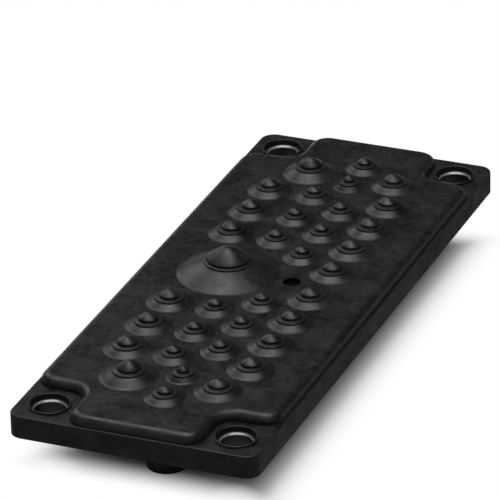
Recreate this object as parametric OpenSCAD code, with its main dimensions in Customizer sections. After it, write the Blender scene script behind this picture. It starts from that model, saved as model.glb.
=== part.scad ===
// Cable entry plate: one moulded elastomer plate with hollow stepped membranes,
// and four metal bushings in its corner pads.
// Millimetres. X across the plate, Y along it, Z out of the panel; Z = 0 is the back face.

/* [Plate] */
// Width across the plate
plate_w = 53; // [45:0.5:65]
// Length along the plate
plate_l = 137.6; // [120:0.2:160]
// Thickness of the four corner pads and of the ledge
pad_t = 4.8; // [3.5:0.1:8]
// Radius of the plate's four corners
corner_r = 3; // [1.5:0.1:5]
// Rounding of the upper edge of the pads and the ledge
pad_edge_r = 0.3; // [0.2:0.1:0.3]

/* [Platform] */
// Rise of the platform over the pads
platform_h = 2; // [1.9:0.1:3]
// Ledge left along each long side
ledge_w = 0.5; // [0.5:0.1:3]
// Ledge left along each end
end_ledge_w = 0.4; // [0.4:0.1:2]
// Width of a corner pad, from the plate's long edge to the platform
pad_w = 12.2; // [11:0.1:14]
// Length of a corner pad, from the plate's end to the platform
pad_l = 13; // [12:0.1:15]
// Radius where two platform walls meet behind a pad
notch_r = 4; // [2:0.1:6]
// Radius of the platform's outer corners
platform_r = 4; // [2:0.1:4]
// Rounding of the platform's upper edge
platform_edge_r = 1.9; // [0.4:0.1:1.9]

/* [Screw points] */
// Screw centre to the plate's long edge
screw_edge_x = 6.6; // [6:0.1:7.5]
// Screw centre to the plate's end
screw_edge_y = 6.8; // [6:0.1:7.5]
// Bore of a bushing, clearance for an M6 screw
screw_bore_d = 6.5; // [5.3:0.1:7]
// Wall of a bushing
bushing_wall = 0.5; // [0.4:0.05:0.8]
// Radial room between a bushing and its hole
bushing_fit = 0.02; // [0.01:0.01:0.05]
// Depth of a bushing's upper end below the pad
bushing_sink = 0.5; // [0.2:0.1:1.5]
// Chamfer at a bushing's edges
bushing_chamfer = 0.1; // [0.05:0.01:0.14]
// Width of the flared mouth at a bushing's upper end
flare_w = 0.36; // [0.2:0.02:0.36]
// Depth of that mouth
flare_h = 0.6; // [0.2:0.05:1]
// How far the hole widens above the bushing, on the radius
hole_flare = 0.25; // [0:0.05:0.6]
// Height of the raised round lip at each hole
lip_h = 0.4; // [0.3:0.05:0.8]
// Thickness of that lip
lip_w = 0.4; // [0.3:0.05:0.6]

/* [Membrane positions] */
// First column of medium membranes, across the plate
column_a_x = -13.3; // [-15:0.1:-12]
// Second column, small membranes
column_b_x = -3.2; // [-4:0.1:-2.5]
// Third column, small membranes
column_c_x = 4.8; // [4.5:0.1:5.5]
// Fourth column, medium membranes
column_d_x = 13.5; // [13:0.1:15]
// First row of columns one and two, from the middle
row_ab_y = 16.65; // [16:0.05:18]
// Pitch of columns one and two
pitch_ab = 10.9; // [10.5:0.05:11.2]
// First row of column three
row_c_y = 11.2; // [10.8:0.05:11.6]
// Pitch of column three
pitch_c = 11; // [10.5:0.05:11.4]
// First row of column four
row_d_y = 6.2; // [5.6:0.05:6.8]
// Pitch of column four
pitch_d = 10.75; // [10.4:0.05:11]
// Main membrane, across the plate
main_x = -7.1; // [-8:0.1:-6.6]
// Large end membranes, across the plate
large_x = -8.25; // [-9:0.05:-7.5]
// Large end membranes, along the plate
large_y = 49.25; // [48.5:0.05:50.5]
// Mini end membranes, across the plate
mini_x = 1.9; // [1.2:0.1:2.6]
// Mini end membranes, along the plate
mini_y = 45.8; // [45:0.1:46.5]
// Outermost membranes, across the plate
outer_x = 1.9; // [1.2:0.1:2.6]
// Outermost membranes, along the plate
outer_y = 55; // [54.4:0.1:57]
// Medium end membranes, across the plate
side_x = 10.8; // [10.2:0.1:12]
// Medium end membranes, along the plate
side_y = 49; // [48.4:0.1:50.5]

/* [Main membrane] */
// Diameter of its foot
main_d = 21.5; // [18:0.1:22]
// Diameter of its step
main_ring_d = 10.3; // [8:0.1:12]
// Height of its skirt
main_skirt_h = 2.4; // [1.6:0.05:3]
// Height of its tip
main_tip_h = 5.9; // [4.4:0.1:7]
// Width of its step
main_step_w = 0.6; // [0.4:0.05:1.2]

/* [Large membranes] */
// Diameter of their foot
large_d = 11.7; // [10:0.1:12.2]
// Diameter of their step
large_ring_d = 6.8; // [5.6:0.1:8]
// Height of their skirt
large_skirt_h = 1.35; // [1:0.05:2]
// Height of their tip
large_tip_h = 3.75; // [3.1:0.05:4.6]

/* [Medium membranes] */
// Diameter of their foot
medium_d = 9.4; // [8.4:0.1:9.8]
// Diameter of their step
medium_ring_d = 6.1; // [5.2:0.1:6.8]
// Height of their skirt
medium_skirt_h = 0.9; // [0.7:0.05:1.4]
// Height of their tip
medium_tip_h = 2.85; // [2.3:0.05:3.4]

/* [Small membranes] */
// Diameter of their foot
small_d = 8; // [7.2:0.1:8.2]
// Diameter of their step
small_ring_d = 5; // [4.6:0.1:5.6]
// Height of their skirt
small_skirt_h = 0.85; // [0.6:0.05:1.2]
// Height of their tip
small_tip_h = 2.55; // [2.2:0.05:3]

/* [Mini membranes] */
// Diameter of their foot
mini_d = 6.4; // [6:0.1:7]
// Diameter of their step
mini_ring_d = 4.4; // [4:0.1:4.8]
// Height of their skirt
mini_skirt_h = 0.85; // [0.6:0.05:1.2]
// Height of their tip
mini_tip_h = 2.55; // [2.2:0.05:3]

/* [Membrane section] */
// Width of the step below the tip cone
step_w = 0.95; // [0.6:0.05:1.1]
// Height of the riser below the step
riser_h = 0.36; // [0.2:0.02:0.6]
// Height of the riser above the step
upper_riser_h = 0.54; // [0.2:0.02:0.8]
// Draft of each riser, on the radius
riser_draft = 0.05; // [0.02:0.01:0.1]
// Slope of the step's tread, as a rise
tread_rise = 0.08; // [0:0.02:0.2]
// How far a skirt swells out, as a share of its slant length
skirt_swell = 0.02; // [0.005:0.005:0.06]
// How far a tip cone swells out, as a share of its slant length
cone_swell = 0.04; // [0.005:0.005:0.06]
// Radius of the blunt tip, as a share of the tip cone's
tip_share = 0.2; // [0.1:0.02:0.4]
// Rise of the blunt tip over its radius
tip_rise = 0.25; // [0.1:0.05:0.4]
// Thickness of the skin that a cable pierces
skin = 0.9; // [0.6:0.05:1.2]
// Wall left inside the step's edge, on the radius
step_wall = 0.3; // [0.2:0.05:0.5]
// Wall left inside the tip cone's foot, on the radius
cone_wall = 0.54; // [0.4:0.02:0.7]
// Radius of the hollow at the tip
hollow_tip_r = 0.3; // [0.2:0.05:0.5]

/* [Sleeves] */
// Length of the sleeves below the back face
sleeve_l = 8.2; // [5:0.1:12]
// Room left inside a membrane's foot for the sleeve's bore, on the radius
socket_inset = 1.1; // [0.9:0.05:1.3]
// How far a sleeve's root stands out past the foot, on the radius
sleeve_out = 0.3; // [0:0.05:0.4]
// Draft of a sleeve over its length, on the radius
sleeve_draft = 0.25; // [0.1:0.05:0.4]
// Lead-in chamfer at a sleeve's mouth
mouth_chamfer = 0.4; // [0.2:0.05:0.6]

/* [Gate recess] */
// Diameter of the recess
gate_d = 3.8; // [2:0.1:5]
// Its place across the plate
gate_x = 6.9; // [5.5:0.1:8]
// Its depth
gate_depth = 1; // [0.3:0.1:1.2]
// Diameter of the stub in it
gate_stub_d = 1.6; // [0.8:0.1:1.8]
// Height of that stub
gate_stub_h = 0.35; // [0.1:0.05:0.8]

/* [Hidden] */
$fn = 96;
// How far joined forms run into each other
eps = 0.4;
// Straight parts that make up a swollen profile
arch_parts = 4;
// How far a skirt runs on into the plate, as a share of its lowest part
foot_root = 0.6;
// How far a cutter runs past the face it opens
over = 1;
// Share of the two corner radii that an inner corner's section reaches back
corner_overlap = 0.45;
plate_t = pad_t + platform_h;
half_w = plate_w / 2;
half_l = plate_l / 2;
wall_x = half_w - ledge_w;
end_y = half_l - end_ledge_w;
notch_x = half_w - pad_w;
notch_y = half_l - pad_l;
screw_dx = plate_w - 2 * screw_edge_x;
screw_dy = plate_l - 2 * screw_edge_y;
hole_r = screw_bore_d / 2 + bushing_wall + bushing_fit;
lip_r = hole_r + hole_flare;
bushing_top = pad_t - bushing_sink;
rubber = [0.07, 0.07, 0.075];
steel = [0.75, 0.75, 0.77];

// A membrane kind: foot radius, step radius, skirt height, tip height, step width
main = [main_d / 2, main_ring_d / 2, main_skirt_h, main_tip_h, main_step_w];
large = [large_d / 2, large_ring_d / 2, large_skirt_h, large_tip_h, step_w];
medium = [medium_d / 2, medium_ring_d / 2, medium_skirt_h, medium_tip_h, step_w];
small = [small_d / 2, small_ring_d / 2, small_skirt_h, small_tip_h, step_w];
mini = [mini_d / 2, mini_ring_d / 2, mini_skirt_h, mini_tip_h, step_w];

// One half of the field, each as [x, y, kind]; the other half is its mirror image
half_field = concat(
    [for (k = [0:2]) [column_a_x, row_ab_y + k * pitch_ab, medium]],
    [for (k = [0:2]) [column_b_x, row_ab_y + k * pitch_ab, small]],
    [for (k = [0:2]) [column_c_x, row_c_y + k * pitch_c, small]],
    [for (k = [0:3]) [column_d_x, row_d_y + k * pitch_d, medium]],
    [[large_x, large_y, large], [mini_x, mini_y, mini],
     [outer_x, outer_y, small], [side_x, side_y, medium]]);

// Places a child on every membrane's axis, with its kind in $kind
module field() {
    for (side = [1, -1], at = half_field)
        translate([at[0], side * at[1], 0]) {
            $kind = at[2];
            children();
        }
    translate([main_x, 0, 0]) {
        $kind = main;
        children();
    }
}

// Wall section with a rounded upper edge: the body starts at u = 0, the wall stands at its width
module wall_section(width, height, edge) {
    square([width, height - edge]);
    square([width - edge, height]);
    translate([width - edge, height - edge]) intersection() {
        circle(edge);
        square(edge);
    }
}

// A straight wall along Y that faces +X, from y0 to y1
module wall_run(x, y0, y1, width, height, edge) {
    translate([x - width, y1, 0]) rotate([90, 0, 0]) linear_extrude(y1 - y0)
        wall_section(width, height, edge);
}

// A quarter turn of wall round an outer corner whose centre is at [x, y]
module outer_corner(x, y, radius, height, edge) {
    translate([x, y, 0]) rotate_extrude(angle = 90) wall_section(radius, height, edge);
}

// A quarter turn of wall round an inner corner whose centre is at [x, y]
module inner_corner(x, y, radius, width, height, edge) {
    translate([x, y, 0]) rotate([0, 0, 180]) rotate_extrude(angle = 90)
        translate([radius + width, 0]) mirror([1, 0]) wall_section(width, height, edge);
}

// Repeats its child in all four quarters of the plate
module quarters() {
    for (mx = [0, 1], my = [0, 1]) mirror([mx, 0, 0]) mirror([0, my, 0]) children();
}

// The flange: a slab with round corners and a rounded upper edge
module flange() {
    r = corner_r;
    cube_at(half_w - r, half_l - r, pad_t);
    for (m = [0, 1]) mirror([m, 0, 0])
        wall_run(half_w, r - half_l, half_l - r, r, pad_t, pad_edge_r);
    for (a = [90, -90]) rotate([0, 0, a])
        wall_run(half_l, r - half_w, half_w - r, r, pad_t, pad_edge_r);
    quarters() outer_corner(half_w - r, half_l - r, r, pad_t, pad_edge_r);
}

module cube_at(x, y, height) {
    translate([-x, -y, 0]) cube([2 * x, 2 * y, height]);
}

// The platform: it leaves a pad free at each corner, behind an S-shaped wall
module platform() {
    r = platform_r;
    e = platform_edge_r;
    cube_at(wall_x - r, notch_y - r, plate_t);
    cube_at(notch_x - r, end_y - r, plate_t);
    for (m = [0, 1]) mirror([m, 0, 0])
        wall_run(wall_x, r - notch_y, notch_y - r, r, plate_t, e);
    for (a = [90, -90]) rotate([0, 0, a])
        wall_run(end_y, r - notch_x, notch_x - r, r, plate_t, e);
    quarters() {
        outer_corner(wall_x - r, notch_y - r, r, plate_t, e);
        outer_corner(notch_x - r, end_y - r, r, plate_t, e);
        wall_run(notch_x, notch_y + notch_r, end_y - r, r, plate_t, e);
        rotate([0, 0, 90]) mirror([0, 1, 0])
            wall_run(notch_y, notch_x + notch_r, wall_x - r, r, plate_t, e);
        inner_corner(notch_x + notch_r, notch_y + notch_r, notch_r,
                     (notch_r + r) * corner_overlap + r, plate_t, e);
    }
}

// Points of a flat arch over the line from a to b, which stands out to the right of that way
function swell(a, b, share) = [for (k = [1:arch_parts - 1])
    let (t = k / arch_parts, run = b - a)
    a + run * t + [run[1], -run[0]] * (4 * share * t * (1 - t))];

// Outside of one membrane with its sleeve: skirt, step, tip cone, and the sleeve below
module membrane_outside(kind) {
    foot = kind[0];
    ring = kind[1];
    cone = ring - kind[4];
    z1 = plate_t + kind[2];
    z2 = z1 + riser_h;
    z3 = z2 + tread_rise;
    z4 = z3 + upper_riser_h;
    tip_r = cone * tip_share;
    top = plate_t + kind[3];
    root = foot + sleeve_out;
    skirt_foot = [foot, plate_t];
    skirt_top = [ring, z1];
    skirt = swell(skirt_foot, skirt_top, skirt_swell);
    cone_foot = [cone - riser_draft, z4];
    cone_top = [tip_r, top - tip_r * tip_rise];
    rotate_extrude() polygon(concat(
        [[0, -sleeve_l], [root - sleeve_draft, -sleeve_l], [root, eps],
         skirt_foot + (skirt_foot - skirt[0]) * foot_root],
        skirt, [skirt_top, [ring - riser_draft, z2], [cone, z3], cone_foot],
        swell(cone_foot, cone_top, cone_swell), [cone_top, [0, top]]));
}

// Inside of one membrane: a straight bore for the cable, closed above by the pierceable skin
module membrane_inside(kind) {
    foot = kind[0];
    ring = kind[1];
    bore = foot - socket_inset;
    cone = ring - kind[4];
    slope = kind[2] / (foot - ring);
    mouth = bore + mouth_chamfer;
    z_skirt = plate_t - skin;
    rotate_extrude() polygon([
        [0, -sleeve_l - over], [mouth, -sleeve_l - over], [mouth, -sleeve_l],
        [bore, mouth_chamfer - sleeve_l], [bore, z_skirt + slope * (foot - bore)],
        [ring - step_wall, z_skirt + kind[2]], [cone - cone_wall, z_skirt + kind[2] + riser_h],
        [hollow_tip_r, z_skirt + kind[3]], [0, z_skirt + kind[3]]]);
}

module at_screw(side_x_sign, side_y_sign) {
    translate([side_x_sign * screw_dx / 2, side_y_sign * screw_dy / 2, 0]) children();
}

// The raised lip round a hole: a ring with a half round top, rooted in the pad
module lip() {
    rotate_extrude() translate([lip_r, 0]) {
        translate([0, pad_t / 2]) square([lip_w, pad_t / 2 + lip_h - lip_w / 2]);
        translate([lip_w / 2, pad_t + lip_h - lip_w / 2]) circle(lip_w / 2);
    }
}

// The hole for a bushing, wider above it
module screw_hole() {
    rotate_extrude() polygon([
        [0, -over], [hole_r, -over], [hole_r, bushing_top], [lip_r, pad_t],
        [lip_r, plate_t + over], [0, plate_t + over]]);
}

// The moulded plate, in one piece with its membranes
module entry_plate() {
    color(rubber) difference() {
        union() {
            difference() {
                union() {
                    flange();
                    platform();
                    field() membrane_outside($kind);
                }
                for (sx = [-1, 1], sy = [-1, 1]) at_screw(sx, sy) screw_hole();
            }
            for (sx = [-1, 1], sy = [-1, 1]) at_screw(sx, sy) lip();
        }
        field() membrane_inside($kind);
        translate([gate_x, 0, plate_t - gate_depth]) difference() {
            cylinder(d = gate_d, h = gate_depth + over);
            translate([0, 0, -over]) cylinder(d = gate_stub_d, h = gate_stub_h + over);
        }
    }
}

// A plain metal bushing with a flared mouth, that takes the screw's clamping force
module bushing() {
    outside = screw_bore_d / 2 + bushing_wall;
    inside = screw_bore_d / 2;
    c = bushing_chamfer;
    color(steel) rotate_extrude() polygon([
        [inside + c, 0], [outside - c, 0], [outside, c], [outside, bushing_top - c],
        [outside - c, bushing_top], [inside + flare_w, bushing_top],
        [inside, bushing_top - flare_h], [inside, c]]);
}

module bushing_front_left() { at_screw(-1, -1) bushing(); }
module bushing_front_right() { at_screw(1, -1) bushing(); }
module bushing_rear_left() { at_screw(-1, 1) bushing(); }
module bushing_rear_right() { at_screw(1, 1) bushing(); }

entry_plate();
bushing_front_left();
bushing_front_right();
bushing_rear_left();
bushing_rear_right();
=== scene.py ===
import math

import bmesh
import bpy
from mathutils import Matrix, Quaternion, Vector


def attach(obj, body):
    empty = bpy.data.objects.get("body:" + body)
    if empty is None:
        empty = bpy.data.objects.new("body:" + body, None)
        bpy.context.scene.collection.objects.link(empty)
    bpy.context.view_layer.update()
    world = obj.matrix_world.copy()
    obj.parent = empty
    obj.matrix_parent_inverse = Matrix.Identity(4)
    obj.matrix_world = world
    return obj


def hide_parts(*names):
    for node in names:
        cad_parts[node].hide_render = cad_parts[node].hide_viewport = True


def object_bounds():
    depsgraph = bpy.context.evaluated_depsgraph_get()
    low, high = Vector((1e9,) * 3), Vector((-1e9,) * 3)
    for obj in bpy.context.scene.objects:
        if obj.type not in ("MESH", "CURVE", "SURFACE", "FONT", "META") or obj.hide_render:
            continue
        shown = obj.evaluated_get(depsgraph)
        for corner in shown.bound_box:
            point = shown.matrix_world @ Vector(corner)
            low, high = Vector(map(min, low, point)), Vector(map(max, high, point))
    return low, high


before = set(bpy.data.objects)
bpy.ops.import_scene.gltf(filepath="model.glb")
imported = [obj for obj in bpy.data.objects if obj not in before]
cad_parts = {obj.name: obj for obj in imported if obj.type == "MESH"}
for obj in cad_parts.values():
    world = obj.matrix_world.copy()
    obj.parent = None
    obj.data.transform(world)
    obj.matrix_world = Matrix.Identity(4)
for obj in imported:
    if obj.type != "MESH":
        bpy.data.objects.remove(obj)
cadBox = [list(corner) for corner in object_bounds()]
scene = bpy.context.scene
scene.view_settings.view_transform = "Standard"
mm = 0.001
print("frame loaded:", len(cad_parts), "nodes")


# camera: long lens, low over the right front corner
cameraView = {
    "azimuth": 22.695, "elevation": 26.667, "roll": -1.349,  # degrees
    "distance": 1066.508, "target": (-6.705, 10.704, 6.8),  # millimetres
    "lens": 368.97, "sensor": 36,  # millimetres
    "nearClip": 0.05, "farClip": 20,  # metres
}


def placeCamera(spec):
    azimuth, elevation, roll = (math.radians(spec[k]) for k in ("azimuth", "elevation", "roll"))
    back = Vector((math.sin(azimuth) * math.cos(elevation),
                   -math.cos(azimuth) * math.cos(elevation), math.sin(elevation)))
    right = (-back).cross(Vector((0, 0, 1))).normalized()
    up = right.cross(-back)
    side = math.cos(roll) * right + math.sin(roll) * up
    top = math.cos(roll) * up - math.sin(roll) * right
    turn = Matrix((side, top, back)).transposed().to_4x4()
    place = (Vector(spec["target"]) + back * spec["distance"]) * mm
    lens = bpy.data.cameras.new("photoLens")
    lens.lens, lens.sensor_width = spec["lens"], spec["sensor"]
    lens.clip_start, lens.clip_end = spec["nearClip"], spec["farClip"]
    eye = bpy.data.objects.new("photoCamera", lens)
    eye.matrix_world = Matrix.Translation(place) @ turn
    scene.collection.objects.link(eye)
    scene.camera = eye


placeCamera(cameraView)
print("camera placed")


class Wire:
    # wraps a socket; sums on it add Math nodes, and node() adds any other node
    def __init__(self, tree, socket=None):
        self.tree, self.socket = tree, socket

    def node(self, kind, settings=None, sockets=None, out=0):
        made = self.tree.nodes.new(kind)
        for key, value in (settings or {}).items():
            if key == "items":  # an Index Switch grows to the inputs it needs
                while len(made.index_switch_items) < value:
                    made.index_switch_items.new()
            else:
                setattr(made, key, value)
        for key, value in (sockets or {}).items():
            if isinstance(value, Wire):
                self.tree.links.new(value.socket, made.inputs[key])
            else:
                made.inputs[key].default_value = value
        return Wire(self.tree, made.outputs[out]) if made.outputs else None

    def sum(self, operation, first, second=0.0):
        return self.node("ShaderNodeMath", {"operation": operation}, {0: first, 1: second})

    def axis(self, name):
        return self.node("ShaderNodeSeparateXYZ", None, {"Vector": self}, out=name)

    def mapRange(self, value, low, high, shape="LINEAR"):
        return self.node("ShaderNodeMapRange", {"interpolation_type": shape},
                         {"Value": value, "From Min": low, "From Max": high})

    def mix(self, factor, first, second):
        return self.node("ShaderNodeMix", {"data_type": "RGBA"},
                         {"Factor": factor, 6: first, 7: second}, out=2)  # sockets of the colour form

    def __add__(self, other): return self.sum("ADD", self, other)
    def __radd__(self, other): return self.sum("ADD", other, self)
    def __sub__(self, other): return self.sum("SUBTRACT", self, other)
    def __rsub__(self, other): return self.sum("SUBTRACT", other, self)
    def __mul__(self, other): return self.sum("MULTIPLY", self, other)
    def __rmul__(self, other): return self.sum("MULTIPLY", other, self)
    def __truediv__(self, other): return self.sum("DIVIDE", self, other)
    def __rtruediv__(self, other): return self.sum("DIVIDE", other, self)
    def __pow__(self, other): return self.sum("POWER", self, other)
    def __rpow__(self, other): return self.sum("POWER", other, self)


def newFinish(name):
    finish = bpy.data.materials.new(name)
    finish.use_nodes = True
    finish.node_tree.nodes.clear()
    return finish, Wire(finish.node_tree)


noiseMiddle = 0.5  # a noise texture swings about this


# black moulding: matt elastomer with a cloudy skin and a fine spark-eroded grain, with painted shade on
# its upright faces and in the gate's recess
mouldingLook = {
    "deep": (0.0010, 0.0010, 0.0012, 1), "pale": (0.0094, 0.0095, 0.0099, 1),
    # the upright faces' colour is painted shade
    "wall": (0.0022, 0.0022, 0.0024, 1),
    "cloud": {"Scale": 210, "Detail": 5.0, "Roughness": 0.62, "Distortion": 0.4},
    "speck": {"Scale": 900, "Detail": 3.0, "Roughness": 0.6},
    "grain": {"Scale": 5200, "Detail": 2.0, "Roughness": 0.55},
    "cloudTint": 0.65, "speckTint": 0.35, "tintRange": (0.38, 0.62),
    "wallRange": (0.65, 0.2),  # from a leaning face to an upright one, by its normal's upward part
    "roughness": 0.38, "wallRoughness": 0.5, "cloudRoughness": 0.5, "speckRoughness": 0.3,
    "ior": 1.47, "specular": 0.3,
    "bumpStrength": 0.4, "bumpDepth": 0.05,  # the depth in millimetres
    "grainRelief": 0.5, "speckRelief": 1.6, "cloudRelief": 3,
    "gate": (6.9, 0.0), "gateRadius": 1.95, "gateTop": 6.74,  # millimetres: the torn gate's recess, darkened in part as painted shade
    "tornRoughness": 1.0, "tornSpecular": 0.04,
}


def mouldingFinish(look):
    finish, wire = newFinish("blackMoulding")
    place = wire.node("ShaderNodeTexCoord", out="Object")
    cloud, speck, grain = (wire.node("ShaderNodeTexNoise", None, {"Vector": place, **look[k]})
                           for k in ("cloud", "speck", "grain"))
    mottle = wire.mapRange(cloud * look["cloudTint"] + speck * look["speckTint"], *look["tintRange"])
    steep = wire.sum("ABSOLUTE", wire.node("ShaderNodeTexCoord", out="Normal").axis("Z"))
    wall = wire.mapRange(steep, *look["wallRange"])  # duller where it stands upright, and darker there as painted shade
    tint = wire.mix(wall, wire.mix(mottle, look["deep"], look["pale"]), look["wall"])
    rough = look["roughness"] + wall * look["wallRoughness"] \
        + (cloud - noiseMiddle) * look["cloudRoughness"] \
        + (speck - noiseMiddle) * look["speckRoughness"]
    relief = grain * look["grainRelief"] + speck * look["speckRelief"] + cloud * look["cloudRelief"]
    bump = wire.node("ShaderNodeBump", None, {
        "Strength": look["bumpStrength"], "Distance": look["bumpDepth"] * mm, "Height": relief})
    skin = wire.node("ShaderNodeBsdfPrincipled", None, {
        "Base Color": tint, "Roughness": rough, "Normal": bump,
        "IOR": look["ior"], "Specular IOR Level": look["specular"]})
    across, along, height = (place.axis(name) for name in "XYZ")
    gateX, gateY = (part * mm for part in look["gate"])
    away = wire.sum("SQRT", (across - gateX) ** 2 + (along - gateY) ** 2)
    gateShadeMask = wire.sum("LESS_THAN", away, look["gateRadius"] * mm) \
        * wire.sum("LESS_THAN", height, look["gateTop"] * mm)  # matt where the gate was torn off, and darker there as painted shade in the recess
    matt = wire.node("ShaderNodeBsdfPrincipled", None, {
        "Base Color": look["wall"], "Roughness": look["tornRoughness"], "Normal": bump,
        "Specular IOR Level": look["tornSpecular"]})
    both = wire.node("ShaderNodeMixShader", None, {"Fac": gateShadeMask, 1: skin, 2: matt})
    wire.node("ShaderNodeOutputMaterial", None, {"Surface": both})
    return finish


blackMoulding = mouldingFinish(mouldingLook)


# bushings: bright flared mouth, and a bore coloured dark as painted shade, with faint turning rings
steelLook = {
    "bright": (0.86, 0.86, 0.87, 1), "boreShade": (0.030, 0.030, 0.032, 1),
    "bandFoot": 3.62, "bandTop": 4.02,  # millimetres: the bright mouth; above and below it the steel is painted shade
    "bandFade": 0.12, "bandWaver": 0.2,
    "rings": {"Scale": 1.0, "Detail": 2.0}, "ringStretch": (60, 60, 5200),
    "stain": {"Scale": 650.0, "Detail": 3.0},
    "brightRoughness": 0.3, "darkRoughness": 0.55, "ringRoughness": 0.2, "stainRoughness": 0.15,
    "bumpStrength": 0.3, "bumpDepth": 0.02,  # the depth in millimetres
}


def steelFinish(look):
    finish, wire = newFinish("turnedSteel")
    place = wire.node("ShaderNodeTexCoord", out="Object")
    flat = wire.node("ShaderNodeMapping", None, {"Vector": place, "Scale": look["ringStretch"]})
    rings = wire.node("ShaderNodeTexNoise", None, {"Vector": flat, **look["rings"]})
    stain = wire.node("ShaderNodeTexNoise", None, {"Vector": place, **look["stain"]})
    foot, top, fade, waver = (look[k] * mm for k in ("bandFoot", "bandTop", "bandFade", "bandWaver"))
    height = place.axis("Z") + (stain - noiseMiddle) * waver
    # outside the mouth band the colour is painted shade
    mouth = wire.mapRange(height, foot, foot + fade) * wire.mapRange(height, top + fade, top)
    tint = wire.mix(mouth, look["boreShade"], look["bright"])
    rough = look["darkRoughness"] + mouth * (look["brightRoughness"] - look["darkRoughness"]) \
        + (rings - noiseMiddle) * look["ringRoughness"] \
        + (stain - noiseMiddle) * look["stainRoughness"]
    bump = wire.node("ShaderNodeBump", None, {
        "Strength": look["bumpStrength"], "Distance": look["bumpDepth"] * mm, "Height": rings})
    metal = wire.node("ShaderNodeBsdfPrincipled", None, {
        "Base Color": tint, "Roughness": rough, "Normal": bump, "Metallic": 1.0})
    wire.node("ShaderNodeOutputMaterial", None, {"Surface": metal})
    return finish


turnedSteel = steelFinish(steelLook)
print("finishes made")


# membranes: five kinds of one stepped, turned form, with softened edges; lengths in millimetres
membraneForm = {
    "segments": 60, "roundSteps": 3, "archParts": 4,
    "skirtSwell": 0.02, "coneSwell": 0.04, "tipShare": 0.2, "tipRise": 0.25,  # shares, not lengths
    "riser": 0.36, "upperRiser": 0.54, "riserDraft": 0.05, "treadRise": 0.08, "step": 0.95,
    "footRound": 1.8, "edgeRound": 0.12, "tipRound": 0.4,
    "rim": 0.5, "tuck": 0.02,  # the foot runs on this far and this deep under the plate's top
    "plateTop": 6.8, "weld": 0.001,
    "kinds": {  # foot and ring are diameters, skirt and tip heights
        "main": {"foot": 21.5, "ring": 10.3, "skirt": 2.4, "tip": 5.9, "step": 0.6},
        "large": {"foot": 11.7, "ring": 6.8, "skirt": 1.35, "tip": 3.75},
        "medium": {"foot": 9.4, "ring": 6.1, "skirt": 0.9, "tip": 2.85},
        "small": {"foot": 8.0, "ring": 5.0, "skirt": 0.85, "tip": 2.55},
        "mini": {"foot": 6.4, "ring": 4.4, "skirt": 0.85, "tip": 2.55},
    },
    "places": {  # of the rear half; the front half mirrors it
        "main": [(-7.1, 0)],
        "large": [(-8.25, 49.25)],
        "medium": [(-13.3, 16.65 + 10.9 * k) for k in range(3)]
        + [(13.5, 6.2 + 10.75 * k) for k in range(4)] + [(10.8, 49)],
        "small": [(-3.2, 16.65 + 10.9 * k) for k in range(3)]
        + [(4.8, 11.2 + 11 * k) for k in range(3)] + [(1.9, 55)],
        "mini": [(1.9, 45.8)],
    },
}


def bothHalves(places):
    return sorted({(x, side * y) for x, y in places for side in (1, -1)})


def membraneOutline(wire, form, foot, ring, skirt, tip, step):
    # corners from the rim in to the tip: distance from the axis, height, rounding
    cone = ring - step
    draft = form["riserDraft"] * mm
    upper = skirt + form["riser"] * mm
    tread = upper + form["treadRise"] * mm
    blunt = cone * form["tipShare"]
    edge = form["edgeRound"]

    def swell(low, high, share):
        # a flat arch over the line between two corners
        run, rise = high[0] - low[0], high[1] - low[1]
        for k in range(1, form["archParts"]):
            part = k / form["archParts"]
            bow = 4 * share * part * (1 - part)
            yield low[0] + run * part + rise * bow, low[1] + rise * part - run * bow, 0

    skirtEnds = (foot, 0.0), (ring, skirt)
    coneEnds = (cone - draft, tread + form["upperRiser"] * mm), (blunt, tip - blunt * form["tipRise"])
    corners = [
        (foot + form["rim"] * mm, -form["tuck"] * mm, 0),
        (*skirtEnds[0], form["footRound"]), *swell(*skirtEnds, form["skirtSwell"]),
        (*skirtEnds[1], edge), (ring - draft, upper, edge), (cone, tread, edge),
        (*coneEnds[0], edge), *swell(*coneEnds, form["coneSwell"]),
        (*coneEnds[1], form["tipRound"]), (0.0, tip, 0)]
    spots = [wire.node("ShaderNodeCombineXYZ", None, {"X": across, "Z": height})
             for across, height, _ in corners]
    return spots, [bend * mm for _, _, bend in corners]


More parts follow.
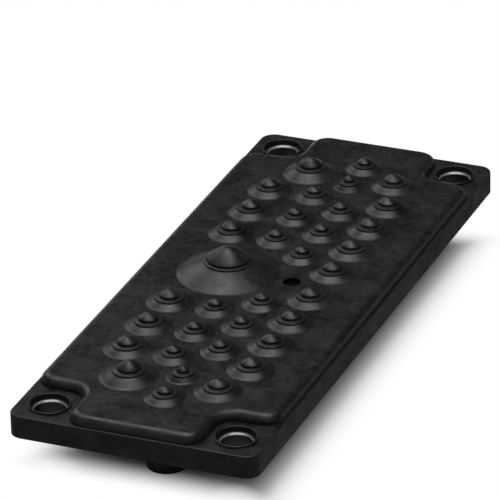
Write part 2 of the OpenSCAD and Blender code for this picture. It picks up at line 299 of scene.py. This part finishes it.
def membraneTree(form, finish):
    tree = bpy.data.node_groups.new("steppedMembrane", "GeometryNodeTree")
    face = tree.interface
    face.new_socket("Geometry", in_out="INPUT", socket_type="NodeSocketGeometry")
    face.new_socket("Geometry", in_out="OUTPUT", socket_type="NodeSocketGeometry")
    sizes = ["Foot Radius", "Step Radius", "Skirt Height", "Tip Height", "Step Width"]
    ids = {n: face.new_socket(n, in_out="INPUT", socket_type="NodeSocketFloat").identifier
           for n in sizes}
    wire = Wire(tree)
    start = tree.nodes.new("NodeGroupInput")
    spots, bends = membraneOutline(wire, form, *(Wire(tree, start.outputs[n]) for n in sizes))
    line = wire.node("GeometryNodeMeshLine", None, {"Count": len(spots)})
    count = wire.node("GeometryNodeInputIndex")
    at = wire.node("GeometryNodeIndexSwitch", {"data_type": "VECTOR", "items": len(spots)},
                   {"Index": count, **dict(enumerate(spots, 1))})
    bend = wire.node("GeometryNodeIndexSwitch", {"data_type": "FLOAT", "items": len(bends)},
                     {"Index": count, **dict(enumerate(bends, 1))})
    line = wire.node("GeometryNodeSetPosition", None, {"Geometry": line, "Position": at})
    outline = wire.node("GeometryNodeMeshToCurve", None, {"Mesh": line})
    outline = wire.node("GeometryNodeFilletCurve", {"mode": "POLY"}, {
        "Curve": outline, "Radius": bend, "Limit Radius": True, "Count": form["roundSteps"]})
    points = wire.node("GeometryNodeAttributeDomainSize", {"component": "CURVE"}, {"Geometry": outline})
    grid = wire.node("GeometryNodeMeshGrid", None, {
        "Size X": 1.0, "Size Y": 1.0, "Vertices X": form["segments"] + 1, "Vertices Y": points})
    along = wire.sum("MODULO", count, points)
    turn = wire.sum("FLOOR", count / points) * (2 * math.pi / form["segments"])
    spot = wire.node("GeometryNodeSampleIndex", {"data_type": "FLOAT_VECTOR"}, {
        "Geometry": outline, "Value": wire.node("GeometryNodeInputPosition"), "Index": along})
    across = spot.axis("X")
    turned = wire.node("ShaderNodeCombineXYZ", None, {
        "X": across * wire.sum("COSINE", turn), "Y": across * wire.sum("SINE", turn),
        "Z": spot.axis("Z")})
    lathe = wire.node("GeometryNodeSetPosition", None, {"Geometry": grid, "Position": turned})
    lathe = wire.node("GeometryNodeMergeByDistance", None, {
        "Geometry": lathe, "Distance": form["weld"] * mm})
    dotted = wire.node("GeometryNodeInstanceOnPoints", None, {
        "Points": Wire(tree, start.outputs["Geometry"]), "Instance": lathe})
    solid = wire.node("GeometryNodeRealizeInstances", None, {"Geometry": dotted})
    solid = wire.node("GeometryNodeSetMaterial", None, {"Geometry": solid, "Material": finish})
    wire.node("NodeGroupOutput", None, {"Geometry": solid})
    return tree, ids


def plainMesh(holder, name):
    # the evaluated result as a mesh of its own; the holder goes
    shown = holder.evaluated_get(bpy.context.evaluated_depsgraph_get())
    mesh = bpy.data.meshes.new_from_object(shown)
    mesh.name = name
    bpy.data.objects.remove(holder)
    return mesh


def makeMembranes(form, finish):
    tree, ids = membraneTree(form, finish)
    top = form["plateTop"] * mm
    meshes = []
    for kind, size in form["kinds"].items():
        dots = bpy.data.meshes.new(kind + "Places")
        dots.from_pydata([(x * mm, y * mm, top) for x, y in bothHalves(form["places"][kind])], [], [])
        holder = bpy.data.objects.new(kind + "Membranes", dots)
        scene.collection.objects.link(holder)
        maker = holder.modifiers.new("steppedMembrane", "NODES")
        maker.node_group = tree
        inputs = {"Foot Radius": size["foot"] / 2, "Step Radius": size["ring"] / 2,
                  "Skirt Height": size["skirt"], "Tip Height": size["tip"],
                  "Step Width": size.get("step", form["step"])}
        for name, value in inputs.items():
            maker[ids[name]] = value * mm
        meshes.append(plainMesh(holder, kind + "Membranes"))
    return meshes


membraneMeshes = makeMembranes(membraneForm, blackMoulding)
print("membranes made:", sum(len(m.polygons) for m in membraneMeshes), "faces")


# plate: the solid's own walls and sleeves, with the turned membranes in place of its plain ones
plateForm = {
    "sharpAngle": 32, "strayAngle": 40,  # degrees
    "weld": 0.002, "aboveTop": 0.005,  # millimetres
    "flatArea": 20,  # square millimetres
    "flatWeight": 80, "normalDigits": 3, "levelDigits": 2,
}


def mendNormals(mesh, form):
    # a wide flat face keeps its own normal right to its edge, so no streaks run across it
    planes = {}
    for face in mesh.polygons:
        level = round(face.normal.dot(face.center) / mm, form["levelDigits"])
        plane = (*(round(part, form["normalDigits"]) for part in face.normal), level)
        planes.setdefault(plane, []).append(face)
    normals = [corner.vector.copy() for corner in mesh.corner_normals]
    for faces in planes.values():
        if sum(face.area for face in faces) > form["flatArea"] * mm * mm:
            for face in faces:
                for corner in face.loop_indices:
                    normals[corner] = face.normal.copy()
    stray = math.cos(math.radians(form["strayAngle"]))
    for face in mesh.polygons:
        for corner in face.loop_indices:
            if normals[corner].dot(face.normal) < stray:  # bent by a sliver of a face beside it
                normals[corner] = face.normal.copy()
    mesh.normals_split_custom_set(normals)


def plainSkin(shell, feet, top):
    # the outer faces of the solid's own membranes
    skin = []
    for face in shell.faces:
        middle = face.calc_center_median()
        if middle.z > top:
            x, y, _ = min(feet, key=lambda f: (f[0] - middle.x) ** 2 + (f[1] - middle.y) ** 2)
            outward = Vector((middle.x - x, middle.y - y, 0)).normalized() + Vector((0, 0, 1))
            if face.normal.dot(outward) > 0:
                skin.append(face)
    return skin


def closeFeet(shell, feet):
    # joins each turned membrane's rim to the hole that it covers, so the skin is closed
    rings = {foot: [] for foot in feet}
    for edge in shell.edges:
        if edge.is_boundary:
            middle = (edge.verts[0].co + edge.verts[1].co) / 2
            nearest = min(feet, key=lambda f: abs(math.hypot(middle.x - f[0], middle.y - f[1]) - f[2]))
            rings[nearest].append(edge)
    for ring in rings.values():
        band = bmesh.ops.bridge_loops(shell, edges=ring)["faces"]
        if not all(edge.is_contiguous for face in band for edge in face.edges):
            bmesh.ops.reverse_faces(shell, faces=band)


def makePlate(form, membranes, meshes, finish):
    feet = [(x * mm, y * mm, membranes["kinds"][kind]["foot"] / 2 * mm)
            for kind, places in membranes["places"].items() for x, y in bothHalves(places)]
    shell = bmesh.new()
    shell.from_mesh(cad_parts["entry_plate"].data)
    bmesh.ops.remove_doubles(shell, verts=shell.verts, dist=form["weld"] * mm)
    skin = plainSkin(shell, feet, (membranes["plateTop"] + form["aboveTop"]) * mm)
    swapped = len(skin)
    bmesh.ops.delete(shell, geom=skin, context="FACES")
    for mesh in meshes:
        shell.from_mesh(mesh)
    closeFeet(shell, feet)
    for face in shell.faces:
        face.smooth = True
        face.material_index = 0
    mesh = bpy.data.meshes.new("entryPlate")
    shell.to_mesh(mesh)
    shell.free()
    mesh.materials.clear()
    mesh.materials.append(finish)
    mesh.set_sharp_from_angle(angle=math.radians(form["sharpAngle"]))
    holder = bpy.data.objects.new("entryPlateDraft", mesh)
    scene.collection.objects.link(holder)
    even = holder.modifiers.new("evenNormals", "WEIGHTED_NORMAL")  # flat faces stay flat by soft edges
    even.keep_sharp = True
    even.weight = form["flatWeight"]
    done = plainMesh(holder, "entryPlate")
    mendNormals(done, form)
    plate = bpy.data.objects.new("entryPlate", done)
    scene.collection.objects.link(plate)
    return plate, swapped


entryPlate, swappedFaces = makePlate(plateForm, membraneForm, membraneMeshes, blackMoulding)
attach(entryPlate, "root")
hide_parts("entry_plate")
print("plate made:", len(entryPlate.data.polygons), "faces,",
      swappedFaces, "plain membrane faces swapped")

for name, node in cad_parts.items():
    if name.startswith("bushing"):
        node.data.materials.clear()
        node.data.materials.append(turnedSteel)
print("bushings finished")


# studio: pale floor, a strip light overhead in line with the camera,
# a broad panel over the front and a weak light at the left
studio = {
    "floorSize": 6.0, "floorGap": 0.00005,  # metres
    "floorColour": (0.92, 0.92, 0.92, 1), "white": (1, 1, 1, 1),
    "shadowMiddle": (2.0, -1.2), "shadowHalf": (24.5, 60.1),  # millimetres: plain white past this
    "shadowFade": (7.0, 5.5), "shadowCorner": 0.5,  # millimetres, and a corner's rounding in fades
    "world": 0.12,
    "lights": {  # metres, degrees, watts
        "overheadStrip": {"place": (-0.07, 0.08, 1.0), "size": (0.5, 0.9), "turn": 22.7, "power": 8.5},
        "broadPanel": {"place": (0.1, -0.4, 1.0), "size": (2.0, 2.0), "turn": 0, "power": 6},
        "leftSoftbox": {"place": (-0.679, 0.476, 0.559), "size": (0.5, 0.5), "turn": 0, "power": 1.8},
    },
}


def floorFinish(spec):
    finish, wire = newFinish("paleFloor")
    camera, glossy, through = (wire.node("ShaderNodeLightPath", out=ray)
                               for ray in ("Is Camera Ray", "Is Glossy Ray", "Is Transmission Ray"))
    seen = wire.sum("MINIMUM", camera + glossy + through, 1.0)
    place = wire.node("ShaderNodeTexCoord", out="Object")
    zone = zip("XY", spec["shadowMiddle"], spec["shadowHalf"], spec["shadowFade"])
    past = []
    for axis, middle, reach, fade in zone:
        away = wire.sum("ABSOLUTE", place.axis(axis) - middle * mm)
        past.append((away - reach * mm) / (fade * mm))
    outside = wire.node("ShaderNodeMath", {"operation": "SMOOTH_MAX"},
                        {0: past[0], 1: past[1], 2: spec["shadowCorner"]})
    clear = wire.mapRange(outside, -1.0, 1.0, "SMOOTHSTEP")
    paper = wire.node("ShaderNodeBsdfDiffuse", None, {"Color": spec["floorColour"]})
    white = wire.node("ShaderNodeEmission", None, {"Color": spec["white"], "Strength": 1.0})
    above = wire.node("ShaderNodeMixShader", None, {"Fac": seen * clear, 1: paper, 2: white})
    below = wire.node("ShaderNodeBsdfTransparent")  # clear from below, so the sleeves can be seen
    under = wire.node("ShaderNodeNewGeometry", out="Backfacing")
    both = wire.node("ShaderNodeMixShader", None, {"Fac": under, 1: above, 2: below})
    wire.node("ShaderNodeOutputMaterial", None, {"Surface": both})
    return finish


def makeFloor(spec):
    half = spec["floorSize"] / 2
    low = cadBox[0][2] - spec["floorGap"]
    mesh = bpy.data.meshes.new("paleFloor")
    corners = [(-half, -half, low), (half, -half, low), (half, half, low), (-half, half, low)]
    mesh.from_pydata(corners, [], [(0, 1, 2, 3)])
    mesh.materials.append(floorFinish(spec))
    floor = bpy.data.objects.new("paleFloor", mesh)
    scene.collection.objects.link(floor)


def makeLights(spec):
    for name, lamp in spec["lights"].items():
        data = bpy.data.lights.new(name, "AREA")
        data.shape = "RECTANGLE"
        data.size, data.size_y = lamp["size"]
        data.energy = lamp["power"]
        box = bpy.data.objects.new(name, data)
        box.location = lamp["place"]
        aim = (-Vector(lamp["place"])).to_track_quat("-Z", "Y")
        box.rotation_euler = (Quaternion((0, 0, 1), math.radians(lamp["turn"])) @ aim).to_euler()
        scene.collection.objects.link(box)
    world = bpy.data.worlds.new("studioRoom")
    world.use_nodes = True
    room = world.node_tree.nodes["Background"]
    room.inputs["Color"].default_value = spec["white"]
    room.inputs["Strength"].default_value = spec["world"]
    scene.world = world


makeFloor(studio)
makeLights(studio)
print("studio made")
